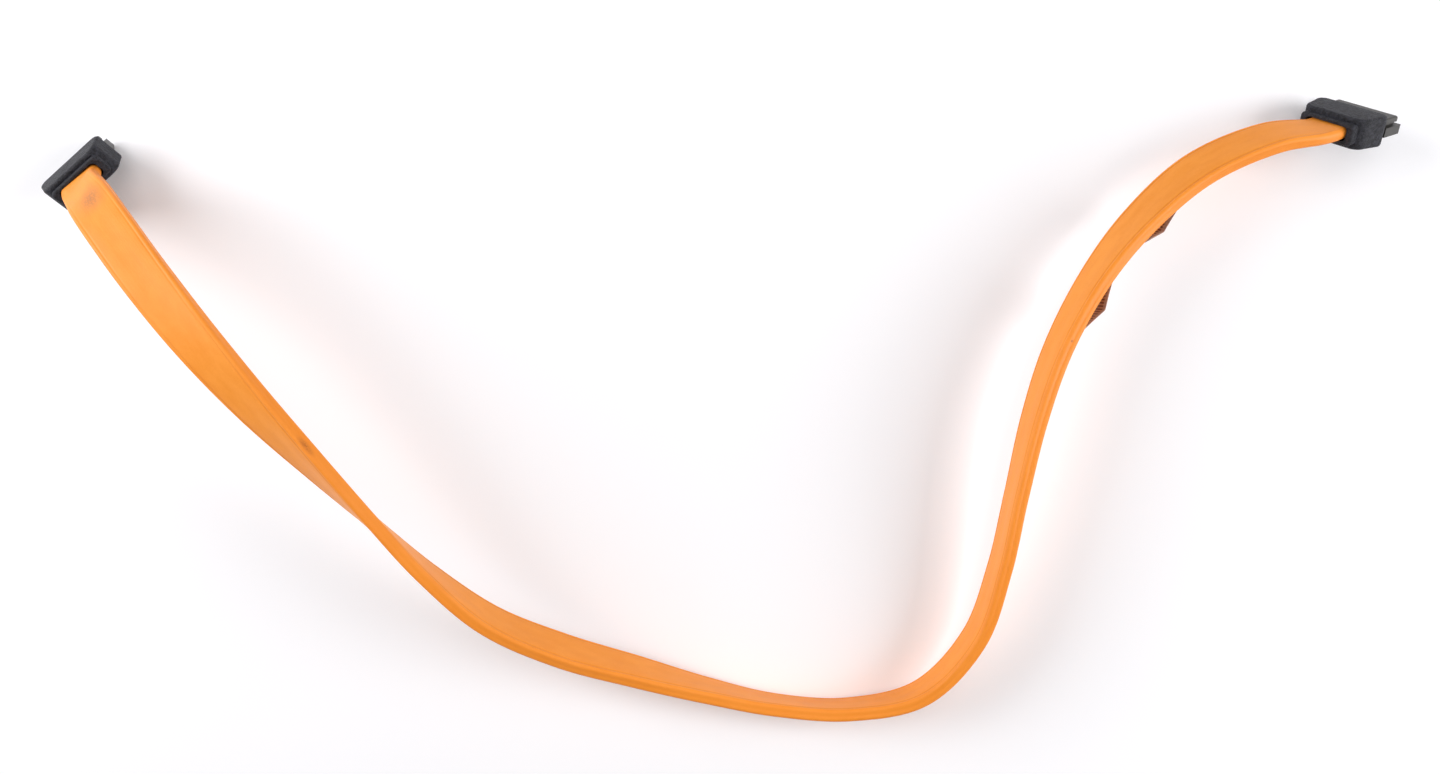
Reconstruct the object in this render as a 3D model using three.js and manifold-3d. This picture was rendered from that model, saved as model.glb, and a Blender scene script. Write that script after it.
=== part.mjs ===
// Flat serial data cable with two straight moulded plugs, lying free on a table.
// Millimetres, +Z up. The origin is on the table, midway between the two plugs.

import * as THREE from "three";
import * as BufferGeometryUtils from "three/addons/utils/BufferGeometryUtils.js";
import Module from "manifold-3d";

const wasm = await Module();
wasm.setup();

// Gaps between separate pieces.
const clearance = 0.3;
const contactClearance = 0.15;
const jacketClearance = 0.2;

// Flat cable: a jacket over two shielded pairs, each with a bare drain wire.
const ribbonWidth = 8.4;
const ribbonThickness = 2.4;
const ribbonEdgeRadius = 0.6;
const coreDiameter = 0.9;
const drainDiameter = 0.4;
const tunnelCornerRadius = 0.35;
const wireSides = 8;
const cableSteps = 60;

// Contacts: seven sprung strips in one row.
const contactCount = 7;
const contactPitch = 1.27;
const contactRowOffset = -0.45;
const contactWidth = 0.5;
const contactStock = 0.2;
const contactTailLength = 0.9;
const contactBumpHeight = 0.35;
const contactBumpPlace = 3.3;
const contactTipGap = 0.9;

// Plug overmould: the black grip that holds the cable.
const bodyWidth = 14.6;
const bodyBackWidth = 13.3;
const bodyThickness = 5.8;
const bodyLength = 6.6;
const bodyFrontRadius = 1.0;
const bodyBackRadius = 1.6;
const bodyEdgeRound = 0.55;
const bodyBackWall = 0.6;
const collarLength = 1.2;
const collarWidth = 11.2;
const collarThickness = 4.0;
const collarRound = 0.45;
const collarCornerRadius = 0.8;

// Contact carrier: its nose stands out of the overmould and holds the L-shaped slot.
const noseLength = 3.7;
const noseWidth = 12.7;
const noseThickness = 3.45;
const noseTopDrop = 1.05;
const noseEdgeRound = 0.2;
const noseCornerRadius = 0.25;
const stemLength = 4.4;
const stemWidth = 11.8;
const stemThickness = 3.0;
const keyLedgeLength = 0.7;
const keyLedgeWidth = 0.35;
const keyLedgeHeight = 1.8;
const keyGrooveHeight = 0.65;
const keyGrooveDepth = 0.6;
const slotWidth = 10.4;
const slotHeight = 1.2;
const slotRoof = 0.9;
const slotDepth = 5.3;
const slotLegWidth = 1.2;
const slotLegDrop = 0.9;
const channelDepth = 0.5;

// Label: a thin printed film on the inside of the bend, buckled away from the cable in two tents.
const labelLength = 36;
const labelWidth = 6.6;
const labelThickness = 0.2;
const labelToRightEnd = 32.9;
const labelTentLength = 10.7;
const labelTentHeight = 1.5;
const labelTentCentres = [8.2, 28.0];

// Route of the cable's centre line, from the left plug to the right one, as it lies in the photograph.
// Each point is [x, y, z, roll]: roll is the angle, in degrees, that the cable's marked edge makes with
// the level direction to the right of travel, so 90 stands the cable on its other edge.
const route = [
  [-118.9, -6.1, 9.4, 180],
  [-117.2, -7.95, 12.45, 182],
  [-112.3, -11.3, 18.4, 187],
  [-106.8, -16.5, 22.7, 189],
  [-99.0, -25.7, 25.3, 183],
  [-89.7, -37.1, 25.8, 167],
  [-80.6, -48.1, 24.1, 148],
  [-71.1, -58.7, 21.7, 127],
  [-61.8, -68.8, 19.1, 108],
  [-51.9, -79.1, 16.6, 91],
  [-41.2, -88.0, 13.9, 76],
  [-28.3, -94.3, 10.7, 69],
  [-15.1, -98.8, 7.8, 73],
  [-1.4, -103.1, 5.4, 83],
  [11.7, -106.2, 4.3, 89],
  [26.1, -107.0, 4.5, 89],
  [39.6, -103.4, 6.2, 85],
  [49.2, -92.6, 8.2, 84],
  [53.6, -79.2, 10.0, 86],
  [56.3, -65.4, 11.6, 87],
  [59.5, -50.8, 12.5, 83],
  [64.0, -37.8, 12.2, 78],
  [71.1, -24.7, 11.7, 71],
  [79.7, -13.8, 11.2, 59],
  [90.8, -4.2, 11.0, 48],
  [103.7, 1.4, 11.4, 50],
  [112.6, 2.8, 10.7, 55],
  [116.1, 3.95, 9.2, 55],
];

// Sizes worked out from the ones above.
const pairOffset = contactPitch * 1.5;
const cavityHeight = coreDiameter + 2 * clearance;
const cavityInner = pairOffset - contactPitch / 2 - coreDiameter / 2 - clearance;
const drainOffset = pairOffset + contactPitch / 2 + coreDiameter / 2 + jacketClearance + drainDiameter / 2;
const cavityOuter = drainOffset + drainDiameter / 2 + jacketClearance;
const noseTop = bodyThickness / 2 - noseTopDrop;
const noseBottom = noseTop - noseThickness;
const noseMiddle = (noseTop + noseBottom) / 2;
const slotTop = noseTop - slotRoof;
const slotBottom = slotTop - slotHeight;
const legFloor = slotBottom - slotLegDrop;
const channelFloor = slotBottom - channelDepth;
const contactLevel = channelFloor + contactClearance + contactStock / 2;
const tailStart = -(stemLength + clearance);
const tailEnd = tailStart - contactTailLength;
const pocketEnd = -(bodyLength - bodyBackWall);
const jacketEnd = pocketEnd - clearance;
const wireLead = tailEnd - clearance - jacketEnd;

function solid(geometry) {
  geometry.deleteAttribute("normal");
  geometry.deleteAttribute("uv");
  const merged = BufferGeometryUtils.mergeVertices(geometry, 1e-4);
  return new wasm.Manifold(new wasm.Mesh({
    numProp: 3,
    vertProperties: new Float32Array(merged.attributes.position.array),
    triVerts: new Uint32Array(merged.index.array),
  }));
}

function toGeometry(manifold) {
  const mesh = manifold.getMesh();
  const geometry = new THREE.BufferGeometry();
  geometry.setAttribute("position", new THREE.BufferAttribute(mesh.vertProperties, 3));
  geometry.setIndex(new THREE.BufferAttribute(mesh.triVerts, 1));
  geometry.computeVertexNormals();
  return geometry;
}

function box([x0, x1], [y0, y1], [z0, z1]) {
  const geometry = new THREE.BoxGeometry(x1 - x0, y1 - y0, z1 - z0);
  geometry.translate((x0 + x1) / 2, (y0 + y1) / 2, (z0 + z1) / 2);
  return solid(geometry);
}

// Rectangle with round corners about (cx, cy); each corner is an arc of the given number of steps.
function roundedRectangle(width, height, radius, arcSteps, cx = 0, cy = 0, Outline = THREE.Shape) {
  const corners = [[1, 1], [-1, 1], [-1, -1], [1, -1]];
  const points = [];
  corners.forEach(([sx, sy], corner) => {
    for (let step = 0; step <= arcSteps; step++) {
      const angle = (corner + step / arcSteps) * Math.PI / 2;
      points.push(new THREE.Vector2(
        cx + sx * (width / 2 - radius) + radius * Math.cos(angle),
        cy + sy * (height / 2 - radius) + radius * Math.sin(angle),
      ));
    }
  });
  return new Outline(points);
}

// Prism along Y, from yBack to yFront, with its rounded section in X and Z about the level z.
function prismAlongY(width, height, radius, yBack, yFront, z = 0, edgeRound = 0) {
  const shape = roundedRectangle(width - 2 * edgeRound, height - 2 * edgeRound, radius, 3);
  const geometry = new THREE.ExtrudeGeometry(shape, {
    depth: yFront - yBack - 2 * edgeRound,
    bevelEnabled: edgeRound > 0,
    bevelThickness: edgeRound,
    bevelSize: edgeRound,
    bevelSegments: 2,
    curveSegments: 3,
  });
  geometry.rotateX(Math.PI / 2);
  geometry.translate(0, yFront - edgeRound, z);
  return solid(geometry);
}

// A place on the cable: its centre, its direction of travel, the way to its marked edge, and
// the way out of its first flat face.
function station(point, tangent, roll) {
  const right = new THREE.Vector3().crossVectors(tangent, new THREE.Vector3(0, 0, 1)).normalize();
  const up = new THREE.Vector3().crossVectors(right, tangent);
  const edge = right.clone().multiplyScalar(Math.cos(roll)).addScaledVector(up, Math.sin(roll));
  const face = new THREE.Vector3().crossVectors(tangent, edge);
  return { point, tangent, edge, face };
}

const routeCurve = new THREE.CatmullRomCurve3(route.map(([x, y, z]) => new THREE.Vector3(x, y, z)));
const rollCurve = new THREE.SplineCurve(route.map(([, , , roll], index) => new THREE.Vector2(index, roll)));
routeCurve.arcLengthDivisions = 2000;
const cableLength = routeCurve.getLength();

function stationAt(share) {
  const roll = rollCurve.getPoint(routeCurve.getUtoTmapping(share)).y;
  return station(routeCurve.getPointAt(share), routeCurve.getTangentAt(share), THREE.MathUtils.degToRad(roll));
}

function moved(place, distance) {
  return { ...place, point: place.point.clone().addScaledVector(place.tangent, distance) };
}

// Path for ExtrudeGeometry that keeps the cable's own roll: a section's x runs to the marked edge
// and its y out of the first flat face.
class RolledPath extends THREE.Curve {
  constructor(stations) {
    super();
    this.stations = stations;
  }

  getSpacedPoints() {
    return this.stations.map((place) => place.point);
  }

  computeFrenetFrames() {
    return {
      tangents: this.stations.map((place) => place.tangent),
      normals: this.stations.map((place) => place.edge),
      binormals: this.stations.map((place) => place.face),
    };
  }
}

function sweep(shape, stations) {
  const geometry = new THREE.ExtrudeGeometry(shape, {
    steps: stations.length - 1,
    extrudePath: new RolledPath(stations),
  });
  geometry.deleteAttribute("uv");
  return geometry;
}

const jacketStations = Array.from({ length: cableSteps + 1 }, (_, index) => stationAt(index / cableSteps));
const leftEnd = jacketStations[0];
const rightEnd = jacketStations[cableSteps];
const wireStations = [moved(leftEnd, -wireLead), ...jacketStations, moved(rightEnd, wireLead)];

const orange = { color: 0xf89a44, roughness: 0.45, metalness: 0 };
const blackPlastic = { color: 0x2b2a2c, roughness: 0.6, metalness: 0 };
const noseBlack = { color: 0x3a3836, roughness: 0.55, metalness: 0 };
const goldPlate = { color: 0xd9b262, roughness: 0.3, metalness: 1 };
const whiteInsulation = { color: 0xe9e7e2, roughness: 0.5, metalness: 0 };
const tinnedCopper = { color: 0xb9b6b0, roughness: 0.35, metalness: 1 };
const brownFilm = { color: 0x8a5a38, roughness: 0.5, metalness: 0 };

function piece(name, geometry, look) {
  const mesh = new THREE.Mesh(geometry, new THREE.MeshStandardMaterial(look));
  mesh.name = name;
  return mesh;
}

// The jacket is one extrusion with two oval tunnels, open at both ends.
function cableJacket() {
  const shape = roundedRectangle(ribbonWidth, ribbonThickness, ribbonEdgeRadius, 2);
  const tunnelWidth = cavityOuter - cavityInner;
  for (const side of [-1, 1]) {
    const centre = side * (cavityInner + cavityOuter) / 2;
    shape.holes.push(roundedRectangle(tunnelWidth, cavityHeight, tunnelCornerRadius, 1, centre, 0, THREE.Path));
  }
  return piece("cable_jacket", sweep(shape, jacketStations), orange);
}

function wire(name, offset, diameter, look) {
  const points = Array.from({ length: wireSides }, (_, index) => {
    const angle = (index + 0.5) * 2 * Math.PI / wireSides;
    return new THREE.Vector2(offset + diameter / 2 * Math.cos(angle), diameter / 2 * Math.sin(angle));
  });
  return piece(name, sweep(new THREE.Shape(points), wireStations), look);
}

function wires() {
  const inner = pairOffset - contactPitch / 2;
  const outer = pairOffset + contactPitch / 2;
  return [
    wire("signal_core_1", -outer, coreDiameter, whiteInsulation),
    wire("signal_core_2", -inner, coreDiameter, whiteInsulation),
    wire("signal_core_3", inner, coreDiameter, whiteInsulation),
    wire("signal_core_4", outer, coreDiameter, whiteInsulation),
    wire("drain_wire_1", -drainOffset, drainDiameter, tinnedCopper),
    wire("drain_wire_2", drainOffset, drainDiameter, tinnedCopper),
  ];
}

// The label follows the cable's first face and lifts off it in two sharp tents.
function cableLabel() {
  const seat = ribbonThickness / 2 + clearance + labelThickness / 2;
  const labelStart = cableLength - labelToRightEnd - labelLength;
  const lift = (along) => labelTentCentres.reduce((height, centre) => {
    const share = Math.max(0, 1 - Math.abs(along - centre) / (labelTentLength / 2));
    return height + labelTentHeight * share;
  }, 0);
  const marks = [0, labelLength];
  for (const centre of labelTentCentres) {
    for (const share of [-1, -0.5, 0, 0.5, 1]) {
      marks.push(centre + share * labelTentLength / 2);
    }
  }
  marks.sort((a, b) => a - b);
  const places = marks.map((along) => {
    const place = stationAt((labelStart + along) / cableLength);
    return { ...place, point: place.point.clone().addScaledVector(place.face, seat + lift(along)) };
  });
  const shape = new THREE.Shape([
    new THREE.Vector2(-labelWidth / 2, -labelThickness / 2),
    new THREE.Vector2(labelWidth / 2, -labelThickness / 2),
    new THREE.Vector2(labelWidth / 2, labelThickness / 2),
    new THREE.Vector2(-labelWidth / 2, labelThickness / 2),
  ]);
  return piece("cable_label", sweep(shape, places), brownFilm);
}

// Plan of the overmould: a straight front edge between round corners, sides that draw in, and rounder
// back corners.
function bodyPlan() {
  const front = -bodyEdgeRound;
  const rear = -bodyLength + bodyEdgeRound;
  const frontHalf = bodyWidth / 2 - bodyEdgeRound;
  const backHalf = bodyBackWidth / 2 - bodyEdgeRound;
  const shape = new THREE.Shape();
  shape.moveTo(frontHalf - bodyFrontRadius, front);
  shape.lineTo(-frontHalf + bodyFrontRadius, front);
  shape.quadraticCurveTo(-frontHalf, front, -frontHalf, front - bodyFrontRadius);
  shape.lineTo(-backHalf, rear + bodyBackRadius);
  shape.quadraticCurveTo(-backHalf, rear, -backHalf + bodyBackRadius, rear);
  shape.lineTo(backHalf - bodyBackRadius, rear);
  shape.quadraticCurveTo(backHalf, rear, backHalf, rear + bodyBackRadius);
  shape.lineTo(frontHalf, front - bodyFrontRadius);
  shape.quadraticCurveTo(frontHalf, front, frontHalf - bodyFrontRadius, front);
  return shape;
}

// The overmould has a pocket for the carrier's stem, a space for the wire ends, and a mouth that
// the jacket enters through the collar.
function overmould(name) {
  const block = new THREE.ExtrudeGeometry(bodyPlan(), {
    depth: bodyThickness - 2 * bodyEdgeRound,
    bevelEnabled: true,
    bevelThickness: bodyEdgeRound,
    bevelSize: bodyEdgeRound,
    bevelSegments: 3,
    curveSegments: 4,
  });
  block.translate(0, 0, -bodyThickness / 2 + bodyEdgeRound);
  const collarBack = -(bodyLength + collarLength);
  const collar = prismAlongY(
    collarWidth,
    collarThickness,
    collarCornerRadius,
    collarBack,
    pocketEnd,
    0,
    collarRound,
  );
  const pocketWidth = stemWidth + 2 * clearance;
  const pocketHeight = stemThickness + 2 * clearance;
  const stemPocket = box(
    [-pocketWidth / 2, pocketWidth / 2],
    [-(stemLength + clearance), bodyLength],
    [noseMiddle - pocketHeight / 2, noseMiddle + pocketHeight / 2],
  );
  const wireHalf = drainOffset + drainDiameter / 2 + 2 * clearance;
  const wireSpace = box(
    [-wireHalf + contactRowOffset, wireHalf],
    [pocketEnd, -stemLength],
    [contactLevel - 2 * clearance, coreDiameter / 2 + 2 * clearance],
  );
  const mouth = prismAlongY(
    ribbonWidth + 2 * jacketClearance,
    ribbonThickness + 2 * jacketClearance,
    ribbonEdgeRadius + jacketClearance,
    collarBack - clearance,
    pocketEnd + clearance,
  );
  const shell = solid(block).add(collar).subtract(stemPocket).subtract(wireSpace).subtract(mouth);
  return piece(name, toGeometry(shell), blackPlastic);
}

function contactPlace(index) {
  return contactRowOffset + (index - (contactCount - 1) / 2) * contactPitch;
}

// The carrier is one moulding: a nose with the L-shaped slot and the stepped key end, and a stem
// that sits in the overmould. A channel for each contact runs below the slot.
function contactCarrier(name) {
  const halfNose = noseWidth / 2;
  const nose = prismAlongY(
    noseWidth,
    noseThickness,
    noseCornerRadius,
    clearance,
    noseLength,
    noseMiddle,
    noseEdgeRound,
  );
  const stem = box(
    [-stemWidth / 2, stemWidth / 2],
    [-stemLength, 2 * clearance],
    [noseMiddle - stemThickness / 2, noseMiddle + stemThickness / 2],
  );
  const ledge = box(
    [halfNose - slotLegWidth, halfNose + keyLedgeWidth],
    [clearance, noseLength + keyLedgeLength],
    [noseBottom, noseBottom + keyLedgeHeight],
  );
  const groove = box(
    [halfNose - keyGrooveDepth, halfNose + keyLedgeWidth],
    [0, noseLength + keyLedgeLength],
    [noseBottom + keyLedgeHeight, noseBottom + keyLedgeHeight + keyGrooveHeight],
  );
  const slotBack = noseLength - slotDepth;
  const slotFront = noseLength + keyLedgeLength + clearance;
  const slot = box([-slotWidth / 2, slotWidth / 2], [slotBack, slotFront], [slotBottom, slotTop]);
  const leg = box(
    [slotWidth / 2 - slotLegWidth, slotWidth / 2],
    [slotBack, slotFront],
    [legFloor, slotTop],
  );
  let carrier = nose.add(stem).add(ledge).subtract(groove).subtract(slot).subtract(leg);
  const channelHalf = contactWidth / 2 + contactClearance;
  for (let index = 0; index < contactCount; index++) {
    const x = contactPlace(index);
    const channel = box(
      [x - channelHalf, x + channelHalf],
      [-(stemLength + clearance), noseLength - clearance],
      [channelFloor, slotBottom + contactClearance],
    );
    carrier = carrier.subtract(channel);
  }
  return piece(name, toGeometry(carrier), noseBlack);
}

// A contact is a strip bent along its length: a tail level with the wires, a flat base in its
// channel, a sprung arch that reaches into the slot, and a tip that dips back.
function contact(name, index) {
  const slotBack = noseLength - slotDepth;
  const line = new THREE.SplineCurve([
    new THREE.Vector2(tailEnd, 0),
    new THREE.Vector2(tailStart - contactTailLength / 3, 0),
    new THREE.Vector2(-stemLength + clearance, contactLevel),
    new THREE.Vector2(slotBack, contactLevel),
    new THREE.Vector2(slotBack + contactBumpPlace, slotBottom + contactBumpHeight),
    new THREE.Vector2(noseLength - contactTipGap, slotBottom - contactStock),
  ]);
  const steps = 15;
  const above = [];
  const below = [];
  for (let step = 0; step <= steps; step++) {
    const point = line.getPoint(step / steps);
    const tangent = line.getTangent(step / steps);
    const normal = new THREE.Vector2(-tangent.y, tangent.x).multiplyScalar(contactStock / 2);
    above.push(point.clone().add(normal));
    below.unshift(point.clone().sub(normal));
  }
  const geometry = new THREE.ExtrudeGeometry(new THREE.Shape([...below, ...above]), {
    depth: contactWidth,
    bevelEnabled: false,
  });
  geometry.rotateX(Math.PI / 2);
  geometry.rotateZ(Math.PI / 2);
  geometry.translate(contactPlace(index) - contactWidth / 2, 0, 0);
  return piece(name, geometry, goldPlate);
}

// A plug's own frame: x to the key end, +Y out of the nose, z out of the marked face; its origin is
// the middle of the overmould's front face.
function plug(side, end, outward) {
  const group = new THREE.Group();
  group.add(overmould(`${side}_plug_overmould`));
  group.add(contactCarrier(`${side}_plug_contact_carrier`));
  for (let index = 0; index < contactCount; index++) {
    group.add(contact(`${side}_plug_contact_${index + 1}`, index));
  }
  const axis = end.tangent.clone().multiplyScalar(outward);
  const marked = new THREE.Vector3().crossVectors(end.edge, axis);
  group.quaternion.setFromRotationMatrix(new THREE.Matrix4().makeBasis(end.edge, axis, marked));
  group.position.copy(end.point).addScaledVector(axis, -jacketEnd);
  return group;
}

const group = new THREE.Group();
group.name = "serial_data_cable";
group.add(cableJacket(), ...wires(), cableLabel());
group.add(plug("left", leftEnd, -1), plug("right", rightEnd, 1));

export default group;
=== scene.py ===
# Flat serial data cable with two straight moulded plugs, lying free on a pale table.
# Metres, +Z up. The origin is on the table, midway between the two plugs.

import bpy
import numpy as np
from mathutils.geometry import tessellate_polygon
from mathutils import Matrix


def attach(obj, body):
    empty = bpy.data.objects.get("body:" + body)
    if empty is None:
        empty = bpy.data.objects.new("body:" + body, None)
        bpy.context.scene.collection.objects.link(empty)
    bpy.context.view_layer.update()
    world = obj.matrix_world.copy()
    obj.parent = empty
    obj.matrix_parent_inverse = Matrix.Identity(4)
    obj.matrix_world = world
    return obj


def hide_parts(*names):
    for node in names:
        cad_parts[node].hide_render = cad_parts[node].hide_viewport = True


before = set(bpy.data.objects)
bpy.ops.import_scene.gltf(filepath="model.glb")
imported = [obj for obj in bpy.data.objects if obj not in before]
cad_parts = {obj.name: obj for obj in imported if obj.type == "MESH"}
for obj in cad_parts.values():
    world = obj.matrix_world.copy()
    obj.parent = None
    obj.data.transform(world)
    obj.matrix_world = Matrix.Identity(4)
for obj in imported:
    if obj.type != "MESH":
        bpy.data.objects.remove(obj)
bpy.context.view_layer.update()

# Camera: straight above the table, with its height and focal length fitted to both plugs and to the
# cable's width all along its run.
CAMERA_PLACE = (0.0012, -0.045, 0.222)
CAMERA_LENS_MM = 28.25
CAMERA_SENSOR_MM = 36.0
CAMERA_NEAREST = 0.005

camera_data = bpy.data.cameras.new("camera")
camera_data.sensor_width = CAMERA_SENSOR_MM
camera_data.lens = CAMERA_LENS_MM
camera_data.clip_start = CAMERA_NEAREST
camera = bpy.data.objects.new("camera", camera_data)
camera.location = CAMERA_PLACE
bpy.context.scene.collection.objects.link(camera)
bpy.context.scene.camera = camera
bpy.context.scene.view_settings.view_transform = "Standard"


# Jacket: soft orange PVC extruded round two pairs of cores, flat on both sides, with a fine groove
# beside each corner and a shallow hollow down each edge. The free cable keeps the half twist and the
# bends of its packing, and stands on its edge for most of its run.
ROUTE = np.array([
    # x, y, z, and the angle in degrees of the first edge from level, seen along the travel
    (-0.1189, -0.0061, 0.0094, 180),
    (-0.1172, -0.00795, 0.01245, 182),
    (-0.1123, -0.0113, 0.0184, 187),
    (-0.1068, -0.0165, 0.0227, 189),
    (-0.0990, -0.0257, 0.0253, 183),
    (-0.0897, -0.0371, 0.0258, 167),
    (-0.0806, -0.0481, 0.0241, 148),
    (-0.0711, -0.0587, 0.0217, 127),
    (-0.0618, -0.0688, 0.0191, 108),
    (-0.0519, -0.0791, 0.0166, 91),
    (-0.0412, -0.0880, 0.0139, 76),
    (-0.0283, -0.0943, 0.0107, 69),
    (-0.0151, -0.0988, 0.0078, 73),
    (-0.0014, -0.1031, 0.0054, 83),
    (0.0117, -0.1062, 0.0043, 89),
    (0.0261, -0.1070, 0.0045, 89),
    (0.0396, -0.1034, 0.0062, 85),
    (0.0492, -0.0926, 0.0082, 84),
    (0.0536, -0.0792, 0.0100, 86),
    (0.0563, -0.0654, 0.0116, 87),
    (0.0595, -0.0508, 0.0125, 83),
    (0.0640, -0.0378, 0.0122, 78),
    (0.0711, -0.0247, 0.0117, 71),
    (0.0797, -0.0138, 0.0112, 59),
    (0.0908, -0.0042, 0.0110, 48),
    (0.1037, 0.0014, 0.0114, 50),
    (0.1126, 0.0028, 0.0107, 55),
    (0.1161, 0.00395, 0.0092, 55),
])
JACKET_WIDTH = 0.0084
JACKET_THICKNESS = 0.0024
JACKET_CORNER = 0.0006
PINCHED_CORNER = 0.00115
PINCH_REACH = 0.008
JACKET_RINGS = 560
JACKET_STEPS = (7, (44, 10), 0.6)
COLLAR_REACH = 0.0015
GROOVE_PLACE = 0.00338
GROOVE_REACH = 0.00019
GROOVE_DEPTH = 0.00010
GROOVE_PRESSED_REACH = 0.055
GROOVE_PRESSED_SHARE = 0.65
CROWN_PLACE = 0.0019
CROWN_REACH = 0.0011
CROWN_HEIGHT = 0.00003
HOLLOW_REACH = 0.00022
HOLLOW_DEPTH = 0.00016
TIGHTEST_BEND = 0.255
PULLED_REACH = 0.045
UNPULLED_SHARE = 0.25
TUNNEL_MIDDLE = 0.002155
TUNNEL_WIDTH = 0.00327
TUNNEL_HEIGHT = 0.0015
TUNNEL_CORNER = 0.00035


def along_route(params):
    """Centre, direction and roll of the cable at these parameters, counted in route points.

    The centre is a cubic through the points whose end slopes weigh each neighbouring chord by the
    square root of its length; the roll is a cubic with even weights.
    """
    points, roll = ROUTE[:, :3], np.radians(ROUTE[:, 3])
    points = np.vstack([2 * points[0] - points[1], points, 2 * points[-1] - points[-2]])
    roll = np.concatenate([roll[:1], roll, roll[-1:]])
    chord = np.sqrt(np.linalg.norm(np.diff(points, axis=0), axis=1))[:, None]
    i = np.clip(params.astype(int), 0, len(ROUTE) - 2)
    w = (params - i)[:, None]
    p0, p1, p2, p3 = (points[i + k] for k in range(4))
    d0, d1, d2 = (chord[i + k] for k in range(3))
    m1 = ((p1 - p0) / d0 - (p2 - p0) / (d0 + d1) + (p2 - p1) / d1) * d1
    m2 = ((p2 - p1) / d1 - (p3 - p1) / (d1 + d2) + (p3 - p2) / d2) * d1
    a, b = 2 * p1 - 2 * p2 + m1 + m2, 3 * p2 - 3 * p1 - 2 * m1 - m2
    centre = ((a * w + b) * w + m1) * w + p1
    direction = (3 * a * w + 2 * b) * w + m1
    direction /= np.linalg.norm(direction, axis=1)[:, None]
    r0, r1, r2, r3 = (roll[i + k] for k in range(4))
    n1, n2, w = (r2 - r0) / 2, (r3 - r1) / 2, w[:, 0]
    turn = (((2 * r1 - 2 * r2 + n1 + n2) * w + 3 * r2 - 3 * r1 - 2 * n1 - n2) * w + n1) * w + r1
    return centre, direction, turn


fine_params = np.linspace(0, len(ROUTE) - 1, 4001)
fine_steps = np.linalg.norm(np.diff(along_route(fine_params)[0], axis=0), axis=1)
fine_lengths = np.concatenate([[0], np.cumsum(fine_steps)])
cable_length = fine_lengths[-1]


def cable_stations(lengths):
    """Centre, direction, way to the first edge, and way out of the first face, at these lengths."""
    centre, direction, turn = along_route(np.interp(lengths, fine_lengths, fine_params))
    level = np.cross(direction, (0.0, 0.0, 1.0))
    level /= np.linalg.norm(level, axis=1)[:, None]
    above = np.cross(level, direction)
    edge = np.cos(turn)[:, None] * level + np.sin(turn)[:, None] * above
    return centre, direction, edge, np.cross(direction, edge)


def rounded_section(width, height, radius, arc_steps, side_steps, crowding=0.0):
    """Closed outline of a rectangle with round corners, as points (x, y) and outward unit normals.

    Each quarter is an arc of arc_steps about its corner's centre, then a straight side split into
    side_steps parts, which a sine of this crowding makes shorter towards the corners.
    """
    quarter = np.linspace(0, np.pi / 2, arc_steps + 1)
    points, normals = [], []
    for turn, (sx, sy) in enumerate([(1, 1), (-1, 1), (-1, -1), (1, -1)]):
        angle = quarter + turn * np.pi / 2
        normal = np.stack([np.cos(angle), np.sin(angle)], axis=1)
        arc = np.array([sx * (width / 2 - radius), sy * (height / 2 - radius)]) + radius * normal
        run = (width if turn % 2 == 0 else height) - 2 * radius
        steps = side_steps[turn % 2]
        share = np.arange(1, steps)[:, None] / steps
        share = share - crowding * np.sin(2 * np.pi * share) / (2 * np.pi)
        way = np.array([-normal[-1, 1], normal[-1, 0]])
        points += [arc, arc[-1] + way * run * share]
        normals += [normal, np.repeat(normal[-1:], steps - 1, axis=0)]
    return np.vstack(points), np.vstack(normals)


def bell(distance, reach):
    """A Gaussian: 1 where the distance is 0, and 1/e where it is this reach."""
    return np.exp(-((distance / reach) ** 2))


def jacket_section(lengths):
    """Outline of the jacket at each length: a flat rounded rectangle less Gaussian grooves beside its
    corners and less one Gaussian hollow down each edge, plus a low crown over each pair of cores.
    The hollow is deepest where the tightest bend pulls it open, and the groove is shallowest at the
    left plug, each by a Gaussian of the length. Near the plugs a Gaussian share of a rounder outline
    takes over, where the overmould's heat and pressure have softened the edges."""
    points, normals = rounded_section(JACKET_WIDTH, JACKET_THICKNESS, JACKET_CORNER, *JACKET_STEPS)
    across, out = np.abs(points[:, 0]), np.abs(points[:, 1])
    groove = GROOVE_DEPTH * bell(across - GROOVE_PLACE, GROOVE_REACH)
    crown = CROWN_HEIGHT * bell(across - CROWN_PLACE, CROWN_REACH)
    hollow = HOLLOW_DEPTH * bell(out, HOLLOW_REACH)
    pulled = UNPULLED_SHARE + (1 - UNPULLED_SHARE) * bell(lengths - TIGHTEST_BEND, PULLED_REACH)
    kept = 1 - GROOVE_PRESSED_SHARE * bell(lengths, GROOVE_PRESSED_REACH)
    on_face, on_edge = normals[:, 1] ** 4, normals[:, 0] ** 4
    relief = on_face * (crown - groove * kept[:, None]) - on_edge * hollow * pulled[:, None]
    free = points + normals * relief[:, :, None]
    pinched = rounded_section(JACKET_WIDTH, JACKET_THICKNESS, PINCHED_CORNER, *JACKET_STEPS)[0]
    to_plug = np.minimum(lengths, cable_length - lengths)
    share = bell(to_plug, PINCH_REACH)[:, None, None]
    return free + share * (pinched - free)


def new_piece(name, vertices, faces):
    """A smooth mesh object at the origin from an array of points and a list of face corners."""
    mesh = bpy.data.meshes.new(name)
    mesh.from_pydata(vertices.tolist(), [], faces)
    mesh.polygons.foreach_set("use_smooth", [True] * len(mesh.polygons))
    piece = bpy.data.objects.new(name, mesh)
    bpy.context.scene.collection.objects.link(piece)
    return piece


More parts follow.
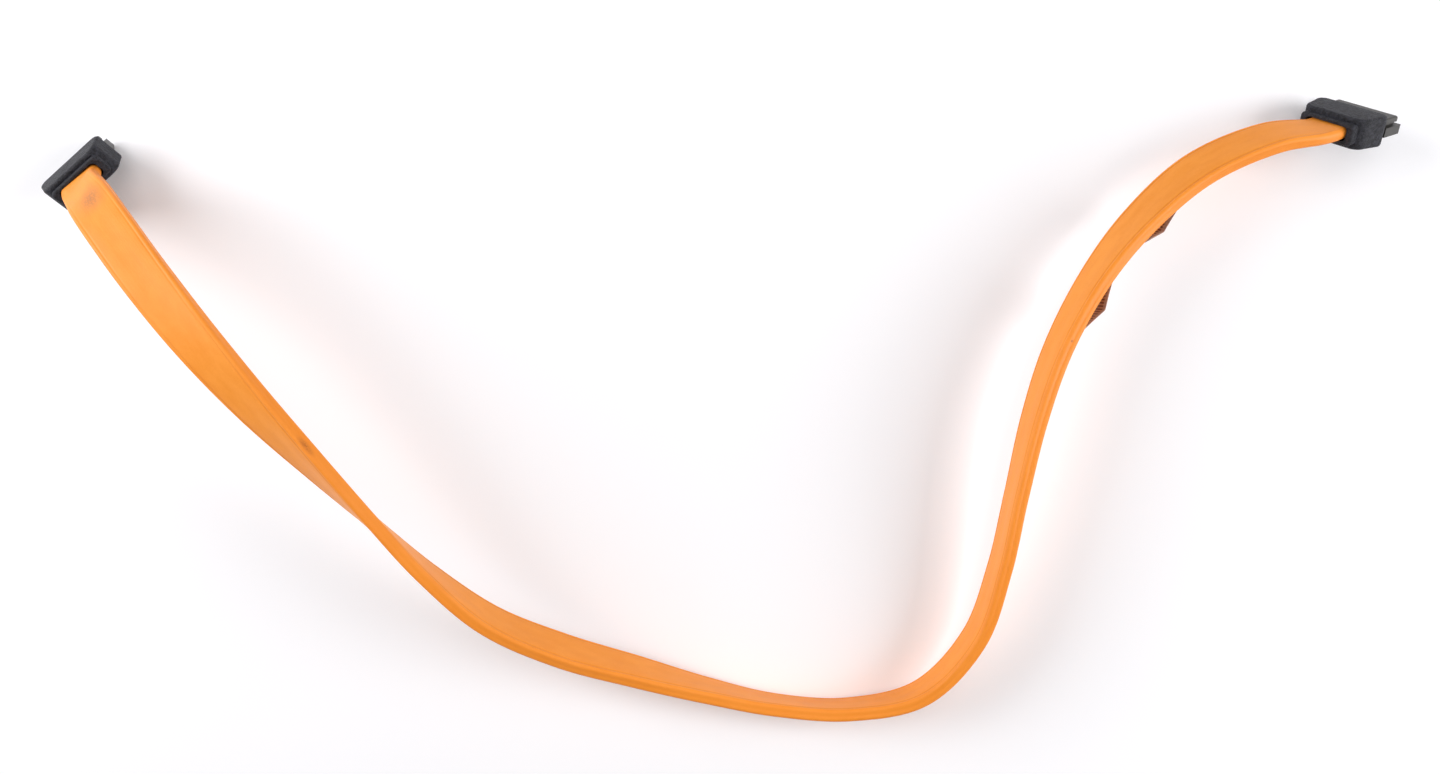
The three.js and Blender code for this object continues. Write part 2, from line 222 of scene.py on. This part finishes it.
def ring_quads(rings, around, first=0, looped=False):
    """Corners of the quads between neighbouring rings, each ring closed on itself; where the rings
    are looped, the last one joins the first again."""
    here = np.arange(rings if looped else rings - 1)[:, None]
    start, end = first + here * around, first + (here + 1) % rings * around
    spot, after = np.arange(around), np.roll(np.arange(around), -1)
    return np.stack([start + spot, start + after, end + after, end + spot], axis=-1).reshape(-1, 4).tolist()


def carried(outline, stations):
    """The outline's x run to the first edge and its y out of the first face, at each station."""
    centre, _, edge, face = (part[:, None] for part in stations)
    return (centre + outline[..., :1] * edge + outline[..., 1:] * face).reshape(-1, 3)


def mark_lay(piece, outlines, lengths):
    """Keeps each point's straightened place in millimetres on the mesh: across, out and along."""
    lay = [
        np.column_stack([outline.reshape(-1, 2), np.repeat(lengths, outline.shape[1])])
        for outline in outlines
    ]
    straight = piece.data.attributes.new("lay", "FLOAT_VECTOR", "POINT")
    straight.data.foreach_set("vector", (np.concatenate(lay) * 1000).ravel())


def cap_triangles(outlines, ring_corners, forward):
    """Triangles over one cut end: the first outline less the others, facing along the travel or back."""
    flat = np.concatenate(outlines)
    corners = np.array(tessellate_polygon([[(x, y, 0.0) for x, y in outline] for outline in outlines]))
    (ax, ay), (bx, by) = (flat[corners[:, k]].T - flat[corners[:, 0]].T for k in (1, 2))
    turned = (ax * by - ay * bx > 0) != forward
    corners[turned] = corners[turned][:, ::-1]
    return ring_corners[corners].tolist()


def jacket_mesh(name, lengths):
    """The outer outline and the two tunnels carried along the cable and closed at both ends."""
    rings = len(lengths)
    tunnel = rounded_section(TUNNEL_WIDTH, TUNNEL_HEIGHT, TUNNEL_CORNER, 2, (1, 1))[0][::-1]
    tunnels = [tunnel + (side * TUNNEL_MIDDLE, 0) for side in (-1, 1)]
    outlines = [jacket_section(lengths)] + [np.tile(outline, (rings, 1, 1)) for outline in tunnels]
    stations = cable_stations(lengths)
    points, faces, first = [], [], 0
    ends = {0: [], rings - 1: []}
    for outline in outlines:
        around = outline.shape[1]
        points.append(carried(outline, stations))
        faces += ring_quads(rings, around, first)
        for ring, corners in ends.items():
            corners.append(first + ring * around + np.arange(around))
        first += rings * around
    for ring, corners in ends.items():
        cut = [outline[ring] for outline in outlines]
        faces += cap_triangles(cut, np.concatenate(corners), forward=ring > 0)
    piece = new_piece(name, np.concatenate(points), faces)
    mark_lay(piece, outlines, lengths)
    return piece


jacket_lengths = np.linspace(0, cable_length, JACKET_RINGS)
jacket = jacket_mesh("flat_jacket", jacket_lengths)


class Signal:
    """A value that runs through the nodes. Plain arithmetic on it adds the Math nodes."""

    def __init__(self, nodes, node, output):
        self.nodes, self.node = nodes, node
        self.socket = node.outputs[output]

    def other(self, output):
        return Signal(self.nodes, self.node, output)

    def math(self, operation, *values):
        return self.nodes.add("Math", {"operation": operation}, dict(enumerate(values)))

    def __add__(self, other):
        return self.math("ADD", self, other)

    def __sub__(self, other):
        return self.math("SUBTRACT", self, other)

    def __mul__(self, other):
        return self.math("MULTIPLY", self, other)

    def __rsub__(self, other):
        return self.math("SUBTRACT", other, self)

    __radd__ = __add__
    __rmul__ = __mul__


class Nodes:
    """The nodes of a material or of the world, and one method that adds any of them."""

    def __init__(self, owner):
        owner.use_nodes = True
        self.tree = owner.node_tree

    def set(self, node, socket, value):
        if isinstance(value, Signal):
            self.tree.links.new(value.socket, node.inputs[socket])
        else:
            node.inputs[socket].default_value = value

    def add(self, kind, settings, sockets, output=0):
        node = self.tree.nodes.new("ShaderNode" + kind)
        for name, value in settings.items():
            setattr(node, name, value)
        for socket, value in sockets.items():
            self.set(node, socket, value)
        return Signal(self, node, output)


class Finish(Nodes):
    """A material with one Principled shader."""

    def __init__(self, name, **constants):
        self.material = bpy.data.materials.new(name)
        super().__init__(self.material)
        self.shader = self.tree.nodes["Principled BSDF"]
        for socket, value in constants.items():
            self.set(self.shader, socket.replace("_", " "), value)

    def noise(self, place, scale, detail=2.0, roughness=0.5):
        settings = {"Vector": place, "Scale": scale, "Detail": detail, "Roughness": roughness}
        return self.add("TexNoise", {}, settings)

    def stretched(self, place, x, y, z):
        return self.add("VectorMath", {"operation": "MULTIPLY"}, {0: place, 1: (x, y, z)})

    def step(self, value, low, high):
        settings = {"interpolation_type": "SMOOTHSTEP"}
        return self.add("MapRange", settings, {"Value": value, "From Min": low, "From Max": high})

    def blend(self, share, first, second):
        """Colour mix; sockets 6 and 7 of the Mix node are its two colours, and output 2 the result."""
        return self.add("Mix", {"data_type": "RGBA"}, {0: share, 6: first, 7: second}, output=2)

    def near(self, place, point, reach):
        """1 at the point, falling smoothly to 0 at this distance from it."""
        distance = self.add("VectorMath", {"operation": "DISTANCE"}, {0: place, 1: point}, "Value")
        return 1 - self.step(distance, 0.0, reach)

    def finish(self, colour=None, roughness=None, height=None, depth_m=0.0):
        if colour is not None:
            self.set(self.shader, "Base Color", colour)
        if roughness is not None:
            self.set(self.shader, "Roughness", roughness)
        if height is not None:
            bump = self.add("Bump", {}, {"Strength": 1.0, "Distance": depth_m, "Height": height})
            self.set(self.shader, "Normal", bump)
        return self.material


ORANGE = (0.91, 0.290, 0.026, 1)
BRIGHT_ORANGE = (0.985, 0.345, 0.046, 1)
# Painted shade: a deeper orange for the edges, as if they were turned away from the light.
EDGE_SHADE_ORANGE = (0.93, 0.26, 0.020, 1)
# Painted shade: the darker orange of the shade that falls in the grooves.
GROOVE_SHADE_ORANGE = (0.72, 0.19, 0.012, 1)
HANDLED_BROWN = (0.46, 0.17, 0.06, 1)
SCUFF_BROWN = (0.36, 0.075, 0.015, 1)
HANDLED_SPOTS = [((1.2, 1.2, 8.4), 3.0, 0.8), ((-0.6, 1.2, 9.0), 2.8, 0.5)]
LONG_SCUFF = ((4.2, 0.35, 22.2), 0.9)
SMALL_SCUFF = ((4.2, -0.2, 278.8), 0.4)
GROOVE_SHADE_MM = (0.08, 0.30)
GROOVE_DARKENS_MM = (10.0, 80.0)
EDGE_SHADE_STARTS_MM = (3.5, 4.15)


def orange_pvc():
    """Satin orange: soft mottling, lengthwise drawing lines from the die, painted shade that deepens the
    colour on the edges and painted shade in the grooves, a handled patch near the left plug and two small
    dark scuffs on the first edge. All places and reaches are millimetres of the straightened cable: across,
    out and along."""
    pvc = Finish("orange_pvc", IOR=1.5, Specular_IOR_Level=0.3)
    lay = pvc.add("Attribute", {"attribute_name": "lay"}, {}, "Vector")
    parts = pvc.add("SeparateXYZ", {}, {0: lay})
    across = parts.math("ABSOLUTE", parts)
    mottle = pvc.noise(pvc.stretched(lay, 1.0, 1.0, 0.35), 0.6, 4.0, 0.6)
    cloud = pvc.noise(pvc.stretched(lay, 0.4, 0.4, 0.1), 0.5, 2.0)
    drawn = pvc.noise(pvc.stretched(lay, 7.0, 7.0, 0.03), 1.0, 3.0, 0.6)
    grain = pvc.noise(lay, 3.0, 3.0, 0.75)
    colour = pvc.blend(
        pvc.step(mottle * 0.5 + cloud * 0.25 + grain * 0.25, 0.3, 0.7),
        ORANGE,
        BRIGHT_ORANGE,
    )
    # Painted shade: the edges are darkened towards a deeper orange, as if turned away from the light.
    colour = pvc.blend(pvc.step(across, *EDGE_SHADE_STARTS_MM) * 0.5, colour, EDGE_SHADE_ORANGE)
    # Painted shade: a thin darker line down each groove, where shade would fall, growing in along the
    # cable.
    off_groove = across - GROOVE_PLACE * 1000
    groove_shade = 1 - pvc.step(off_groove.math("ABSOLUTE", off_groove), *GROOVE_SHADE_MM)
    groove_shade = groove_shade * pvc.step(parts.other("Z"), *GROOVE_DARKENS_MM)
    colour = pvc.blend(groove_shade * 0.4, colour, GROOVE_SHADE_ORANGE)
    worn = 0.35 + pvc.step(pvc.noise(lay, 2.4, 5.0, 0.85), 0.32, 0.70) * 0.65
    handled = pvc.stretched(lay, 1.0, 1.0, 0.6)
    rub = sum(pvc.near(handled, place, reach) * depth for place, reach, depth in HANDLED_SPOTS)
    colour = pvc.blend(rub * worn, colour, HANDLED_BROWN)
    scuffs = pvc.near(pvc.stretched(lay, 1.0, 1.0, 0.3), *LONG_SCUFF)
    scuffs = scuffs * worn + pvc.near(lay, *SMALL_SCUFF)
    colour = pvc.blend(scuffs * 0.8, colour, SCUFF_BROWN)
    roughness = 0.46 + (mottle - 0.5) * 0.16 + (grain - 0.5) * 0.10
    height = drawn * 0.4 + grain * 0.5 + mottle * 0.5
    return pvc.finish(colour, roughness, height, 0.00004)


jacket.data.materials.append(orange_pvc())
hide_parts("cable_jacket")
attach(jacket, "root")


# Cores and drain wires: foamed white insulation round each signal core, and a bare tinned wire beside
# each pair. They run unseen inside the jacket and come free behind the contacts.
INSULATION_SHADE = (0.74, 0.73, 0.69, 1)
INSULATION_WHITE = (0.84, 0.83, 0.80, 1)
TIN_SHADE = (0.55, 0.53, 0.50, 1)
TIN_BRIGHT = (0.72, 0.70, 0.67, 1)


def white_insulation():
    """Foamed white core insulation with a faint skin texture."""
    skin = Finish("white_insulation")
    place = skin.add("TexCoord", {}, {}, "Object")
    cells = skin.noise(place, 2400.0, 2.0)
    colour = skin.blend(cells, INSULATION_SHADE, INSULATION_WHITE)
    return skin.finish(colour, 0.45 + cells * 0.15, cells, 0.00002)


def tinned_copper():
    """Tin-dipped drain wire with fine bright and dull specks."""
    tin = Finish("tinned_copper", Metallic=1.0)
    place = tin.add("TexCoord", {}, {}, "Object")
    specks = tin.noise(place, 1500.0, 3.0)
    colour = tin.blend(specks, TIN_SHADE, TIN_BRIGHT)
    return tin.finish(colour, 0.3 + specks * 0.15, specks, 0.00001)


def coat(names, material):
    """Gives these CAD nodes this material in place of their plain one."""
    for name in names:
        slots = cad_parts[name].data.materials
        slots.clear()
        slots.append(material)


CORES = [f"signal_core_{n}" for n in range(1, 5)]
DRAINS = ["drain_wire_1", "drain_wire_2"]
coat(CORES, white_insulation())
coat(DRAINS, tinned_copper())


# Label: a thin film stuck along the inside of the bend, painted brown as painted shade: the tone a pale
# label takes in the shade of the bend under orange light thrown from the jacket. The bend is shorter than
# the film, so it has come off the cable in two sharp tents.
LABEL_TO_RIGHT_END = 0.0689
LABEL_LENGTH = 0.036
LABEL_WIDTH = 0.0066
LABEL_THICKNESS = 0.0001
LABEL_LEVEL = 0.00129
TENT_CENTRES = (0.0082, 0.0280)
TENT_HALF_LENGTH = 0.0056
TENT_HEIGHT = 0.0020
FOLD_EASE = 0.03
FOOT_EASE = 0.05
LABEL_RINGS = 181
# Painted shade: the film's brown and tan are a pale label's tone in the bend's shade under orange light
# from the jacket.
SHADED_FILM_BROWN = (0.50, 0.27, 0.16, 1)
SHADED_FILM_TAN = (0.66, 0.42, 0.28, 1)
BAR_BROWN = (0.13, 0.06, 0.04, 1)
MARGIN_TAN = (0.56, 0.45, 0.40, 1)
BAR_PITCH_MM = 0.62
MARGIN_STARTS_MM = (2.35, 2.55)


def label_lift(along):
    """Height of the film off the cable: for each tent a straight slope up to a sharp fold and down
    again. A hyperbola eases the fold, and another eases each slope into the flat."""
    lift = np.zeros_like(along)
    for middle in TENT_CENTRES:
        slope = 1 - np.hypot((along - middle) / TENT_HALF_LENGTH, FOLD_EASE)
        lift += TENT_HEIGHT * (slope + np.hypot(slope, FOOT_EASE)) / 2
    return lift


def label_mesh(name):
    """The film's thin rectangle carried along the first face at the height of the lift, and closed at
    both ends."""
    along = np.linspace(0, LABEL_LENGTH, LABEL_RINGS)
    outline = rounded_section(LABEL_WIDTH, LABEL_THICKNESS, LABEL_THICKNESS / 3, 1, (12, 1))[0]
    level = LABEL_LEVEL + label_lift(along)
    outlines = outline + np.stack([np.zeros_like(level), level], axis=1)[:, None]
    stations = cable_stations(cable_length - LABEL_TO_RIGHT_END + along)
    rings, around = outlines.shape[:2]
    faces = ring_quads(rings, around)
    for ring in (0, rings - 1):
        faces += cap_triangles([outline], ring * around + np.arange(around), forward=ring > 0)
    piece = new_piece(name, carried(outlines, stations), faces)
    mark_lay(piece, [outlines], along)
    return piece


def brown_film():
    """Paper film in painted shade, brown and tan as a pale label looks in the bend's shade under orange
    light from the jacket, with crosswise bars at an even pitch and a bare margin along each side.
    """
    film = Finish("brown_film", Specular_IOR_Level=0.3)
    lay = film.add("Attribute", {"attribute_name": "lay"}, {}, "Vector")
    parts = film.add("SeparateXYZ", {}, {0: lay})
    along = parts.other("Z")
    fibres = film.noise(film.stretched(lay, 6.0, 1.0, 2.0), 1.0, 3.0, 0.6)
    wave = (along + (fibres - 0.5) * 0.08) * (2 * np.pi / BAR_PITCH_MM)
    bars = film.step(along.math("SINE", wave), -0.3, 0.5)
    # Painted shade: brown and tan stand for a pale film in the shade of the bend with orange light from the
    # jacket on it.
    colour = film.blend(fibres, SHADED_FILM_BROWN, SHADED_FILM_TAN)
    colour = film.blend(bars * 0.85, colour, BAR_BROWN)
    margin = film.step(parts.math("ABSOLUTE", parts), *MARGIN_STARTS_MM)
    colour = film.blend(margin * 0.8, colour, MARGIN_TAN)
    return film.finish(colour, 0.5 + (fibres - 0.5) * 0.2, fibres * 0.6 - bars * 0.2, 0.00003)


label = label_mesh("label_film")
label.data.materials.append(brown_film())
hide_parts("cable_label")
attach(label, "root")


# Overmoulds: black vinyl shot round each end of the cable, a grip that draws in towards its back and a
# smaller collar behind it. The mould's spark-etched faces leave an even matt grain.
GRIP_LENGTH = 0.0066
GRIP_FRONT_HALF = 0.0073
GRIP_BACK_HALF = 0.00665
GRIP_HALF_THICKNESS = 0.0029
GRIP_EDGE_ROUND = 0.00055
GRIP_FRONT_CORNER = 0.0010
GRIP_BACK_CORNER = 0.0016
COLLAR_BACK = 0.0078
COLLAR_WIDTH = 0.0112
COLLAR_THICKNESS = 0.0040
COLLAR_CORNER = 0.0008
COLLAR_EDGE_ROUND = 0.00032
MOUTH_WIDTH = 0.0088
MOUTH_HEIGHT = 0.0028
MOUTH_DEPTH = 0.0057
POCKET_WIDTH = 0.0124
POCKET_HEIGHT = 0.0036
POCKET_LEVEL = 0.000125
POCKET_DEPTH = 0.0047
POCKET_CORNER = 0.00015
ROOM_EXTRA_WIDTH = 0.0016
ROOM_EXTRA_HEIGHT = 0.0004
SEAM = 0.00005
GRIP_STEPS = (6, (24, 8))
JACKET_END = 0.0063
SHARP_EDGE_DEGREES = 38
VINYL_BLACK = (0.003, 0.003, 0.005, 1)
VINYL_GREY = (0.036, 0.036, 0.047, 1)


def plug_frames():
    """Origin and axes of each plug: x to its key end, y out of its nose, z out of its wide top face."""
    frames = {}
    for side, length, outward in (("left", 0.0, -1), ("right", cable_length, 1)):
        centre, direction, edge, _ = (part[0] for part in cable_stations(np.array([length])))
        axis = outward * direction
        frames[side] = (centre + axis * JACKET_END, np.array([edge, axis, np.cross(edge, axis)]))
    return frames


def dome(outline, half_width, corner):
    """How far a rounded end of the grip stands out beyond where its corners begin.

    The end is a flat outline with round corners, swept by a disc of the edge round, so at a height z
    the corner's radius grows by the disc's half chord there: the answer is the root of that radius
    squared less the distance past the corner's centre squared.
    """
    over = np.clip(np.abs(outline[:, 1]) - (GRIP_HALF_THICKNESS - GRIP_EDGE_ROUND), 0, GRIP_EDGE_ROUND)
    past = np.clip(np.abs(outline[:, 0]) - (half_width - GRIP_EDGE_ROUND - corner), 0, None)
    radius = corner + np.sqrt(GRIP_EDGE_ROUND**2 - over**2)
    return np.sqrt(np.clip(radius**2 - past**2, 0, None))


def grip_rings():
    """The overmould's rings in its plug's frame, from the bottom of the front pocket out and round the
    grip, over the collar and in again through the mouth."""
    steps, thickness = GRIP_STEPS, 2 * GRIP_HALF_THICKNESS
    front = rounded_section(2 * GRIP_FRONT_HALF, thickness, GRIP_EDGE_ROUND, *steps)[0]
    back = rounded_section(2 * GRIP_BACK_HALF, thickness, GRIP_EDGE_ROUND, *steps)[0]
    pocket = rounded_section(POCKET_WIDTH, POCKET_HEIGHT, POCKET_CORNER, *steps)[0] + (0, POCKET_LEVEL)
    collar = rounded_section(COLLAR_WIDTH, COLLAR_THICKNESS, COLLAR_CORNER, *steps)[0]
    mouth = rounded_section(MOUTH_WIDTH, MOUTH_HEIGHT, COLLAR_CORNER, *steps)[0]
    room_size = (MOUTH_WIDTH + ROOM_EXTRA_WIDTH, MOUTH_HEIGHT + ROOM_EXTRA_HEIGHT)
    room = rounded_section(*room_size, COLLAR_CORNER, *steps)[0]
    front_corners = -(GRIP_EDGE_ROUND + GRIP_FRONT_CORNER)
    back_corners = -(GRIP_LENGTH - GRIP_EDGE_ROUND - GRIP_BACK_CORNER)
    rings = [(pocket, -POCKET_DEPTH)]
    for share in np.sin(np.linspace(0, np.pi / 2, 13)):
        outline = pocket + share * (front - pocket)
        rings.append((outline, front_corners + dome(outline, GRIP_FRONT_HALF, GRIP_FRONT_CORNER)))
    rings += [(front, front_corners - SEAM), (back, back_corners + SEAM)]
    for share in np.cos(np.linspace(0, np.pi / 2, 13)):
        outline = collar + share * (back - collar)
        rings.append((outline, back_corners - dome(outline, GRIP_BACK_HALF, GRIP_BACK_CORNER)))
    for angle in np.linspace(0, np.pi / 2, 7):
        inset = COLLAR_EDGE_ROUND * (1 - np.cos(angle))
        size = (COLLAR_WIDTH - 2 * inset, COLLAR_THICKNESS - 2 * inset)
        outline = rounded_section(*size, COLLAR_CORNER, *steps)[0]
        rings.append((outline, -COLLAR_BACK + COLLAR_EDGE_ROUND * (1 - np.sin(angle))))
    rings += [(mouth, -COLLAR_BACK), (mouth, -MOUTH_DEPTH), (room, -MOUTH_DEPTH + SEAM)]
    return np.stack([
        np.column_stack([outline[:, 0], np.broadcast_to(along, len(outline)), outline[:, 1]])
        for outline, along in rings
    ])


def black_vinyl():
    """Near-black vinyl with an even matt grain, a little smoother in soft patches."""
    vinyl = Finish("black_vinyl", IOR=1.48, Specular_IOR_Level=0.26)
    place = vinyl.add("TexCoord", {}, {}, "Object")
    grain = vinyl.noise(place, 2100.0, 3.0, 0.8)
    pits = vinyl.noise(place, 1100.0, 4.0, 0.8)
    haze = vinyl.noise(place, 260.0, 2.0)
    speckle = vinyl.step(grain * 0.6 + pits * 0.4, 0.40, 0.64)
    colour = vinyl.blend(speckle, VINYL_BLACK, VINYL_GREY)
    roughness = 0.56 + (haze - 0.5) * 0.15 + (grain - 0.5) * 0.2
    return vinyl.finish(colour, roughness, grain * 0.8 + pits * 1.2, 0.00022)


vinyl_finish = black_vinyl()
rings = grip_rings()
grips = {}
for side, (origin, axes) in plug_frames().items():
    quads = ring_quads(rings.shape[0], rings.shape[1], looped=True)
    grip = new_piece(f"{side}_plug_grip", origin + rings.reshape(-1, 3) @ axes, quads)
    grip.data.set_sharp_from_angle(angle=np.radians(SHARP_EDGE_DEGREES))
    grip.data.materials.append(vinyl_finish)
    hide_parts(f"{side}_plug_overmould")
    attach(grip, "root")
    grips[side] = grip


# Contact carriers: glass-filled plastic in a warmer black, one moulding with the L-shaped slot, the
# stepped key end and a channel for each contact.
NOSE_BLACK = (0.026, 0.024, 0.022, 1)
NOSE_GREY = (0.050, 0.047, 0.043, 1)


def nose_plastic():
    """Smoother glass-filled plastic in a warm black, faintly streaked along the flow."""
    plastic = Finish("nose_plastic", IOR=1.52, Specular_IOR_Level=0.36)
    place = plastic.add("TexCoord", {}, {}, "Object")
    grain = plastic.noise(place, 4200.0, 2.0, 0.6)
    flow = plastic.noise(plastic.stretched(place, 1.0, 1.0, 0.3), 700.0, 3.0)
    colour = plastic.blend(flow, NOSE_BLACK, NOSE_GREY)
    roughness = 0.42 + (flow - 0.5) * 0.12
    return plastic.finish(colour, roughness, grain * 0.5 + flow * 0.3, 0.00004)


CARRIERS = [f"{side}_plug_contact_carrier" for side in grips]
coat(CARRIERS, nose_plastic())


# Contacts: seven phosphor-bronze springs in each plug, blanked, bent and plated with thin gold.
GOLD = (0.83, 0.60, 0.25, 1)
PALE_GOLD = (0.90, 0.70, 0.36, 1)


def gold_plate():
    """Thin gold over nickel, with rolling lines and faint patches of paler gold."""
    gold = Finish("gold_plate", Metallic=1.0)
    place = gold.add("TexCoord", {}, {}, "Object")
    lines = gold.noise(gold.stretched(place, 9.0, 9.0, 1.0), 900.0, 2.0)
    patches = gold.noise(place, 900.0, 2.0)
    colour = gold.blend(patches, GOLD, PALE_GOLD)
    return gold.finish(colour, 0.22 + lines * 0.2, lines, 0.000008)


CONTACTS = {side: [f"{side}_plug_contact_{n}" for n in range(1, 8)] for side in grips}
coat(CONTACTS["left"] + CONTACTS["right"], gold_plate())


# The cable's centre just past the left plug's collar and its centres along the whole run are worked out
# here and not kept.
cable_stations(np.array([COLLAR_REACH]))[0][0]
cable_stations(jacket_lengths)[0]


# Table: a plain white sheet under soft light from the left, from the right and from above, in a white
# room. The room and the far part of the sheet are white to the eye alone and throw no more light.
SHEET_WHITE = (0.95, 0.945, 0.975, 1)
PURE_WHITE = (1, 1, 1, 1)
SHEET_GLOW = 0.065
FAR_GLOW = 0.9
GLOW_RISES = (0.20, 0.75)
ROOM_LIGHT = 0.13


def seen_directly(nodes):
    """1 for what the camera sees, straight or through a mirror or glass, and 0 for thrown light."""
    path = nodes.add("LightPath", {}, {}, "Is Camera Ray")
    seen = path.math("MAXIMUM", path, path.other("Is Glossy Ray"))
    return seen.math("MAXIMUM", seen, path.other("Is Transmission Ray"))


def table_white():
    """Matt white, lifted by a little light of its own where it is seen directly, so the sheet is
    white and keeps the object's shadow. The lift grows with the distance from the middle."""
    sheet = Finish("table_white", Roughness=1.0, Specular_IOR_Level=0.0)
    sheet.set(sheet.shader, "Base Color", SHEET_WHITE)
    place = sheet.add("TexCoord", {}, {}, "Object")
    middle = sheet.add("VectorMath", {"operation": "LENGTH"}, {0: place}, "Value")
    strength = SHEET_GLOW + sheet.step(middle, *GLOW_RISES) * (FAR_GLOW - SHEET_GLOW)
    plain = Signal(sheet, sheet.shader, 0)
    glow = sheet.add("Emission", {}, {"Color": PURE_WHITE, "Strength": strength})
    lifted = sheet.add("AddShader", {}, {0: plain, 1: glow})
    mix = sheet.add("MixShader", {}, {0: seen_directly(sheet), 1: plain, 2: lifted})
    sheet.set(sheet.tree.nodes["Material Output"], "Surface", mix)
    return sheet.material


TABLE_HALF = 3.0
TABLE_LEVEL = -0.00003
corners = np.array([(-1, -1, 0), (1, -1, 0), (1, 1, 0), (-1, 1, 0)]) * TABLE_HALF
table = new_piece("table", corners + (0, 0, TABLE_LEVEL), [[0, 1, 2, 3]])
table.data.materials.append(table_white())

world = bpy.data.worlds.new("studio")
room = Nodes(world)
light = room.add("Background", {}, {"Color": PURE_WHITE, "Strength": ROOM_LIGHT})
white = room.add("Background", {}, {"Color": PURE_WHITE, "Strength": 1.0})
mix = room.add("MixShader", {}, {0: seen_directly(room), 1: light, 2: white})
room.set(room.tree.nodes["World Output"], "Surface", mix)
bpy.context.scene.world = world


def soft_box(name, place, size, watts):
    """A square area lamp that faces the middle of the table."""
    lamp_data = bpy.data.lights.new(name, "AREA")
    lamp_data.size = size
    lamp_data.energy = watts
    lamp = bpy.data.objects.new(name, lamp_data)
    lamp.location = place
    aim = -lamp.location
    lamp.rotation_euler = aim.to_track_quat("-Z", "Y").to_euler()
    bpy.context.scene.collection.objects.link(lamp)


soft_box("left_soft_box", (-0.46, 0.09, 0.28), 0.32, 2.3)
soft_box("right_soft_box", (0.50, -0.06, 0.30), 0.32, 2.4)
soft_box("top_soft_box", (0.0, 0.10, 0.70), 0.50, 1.2)
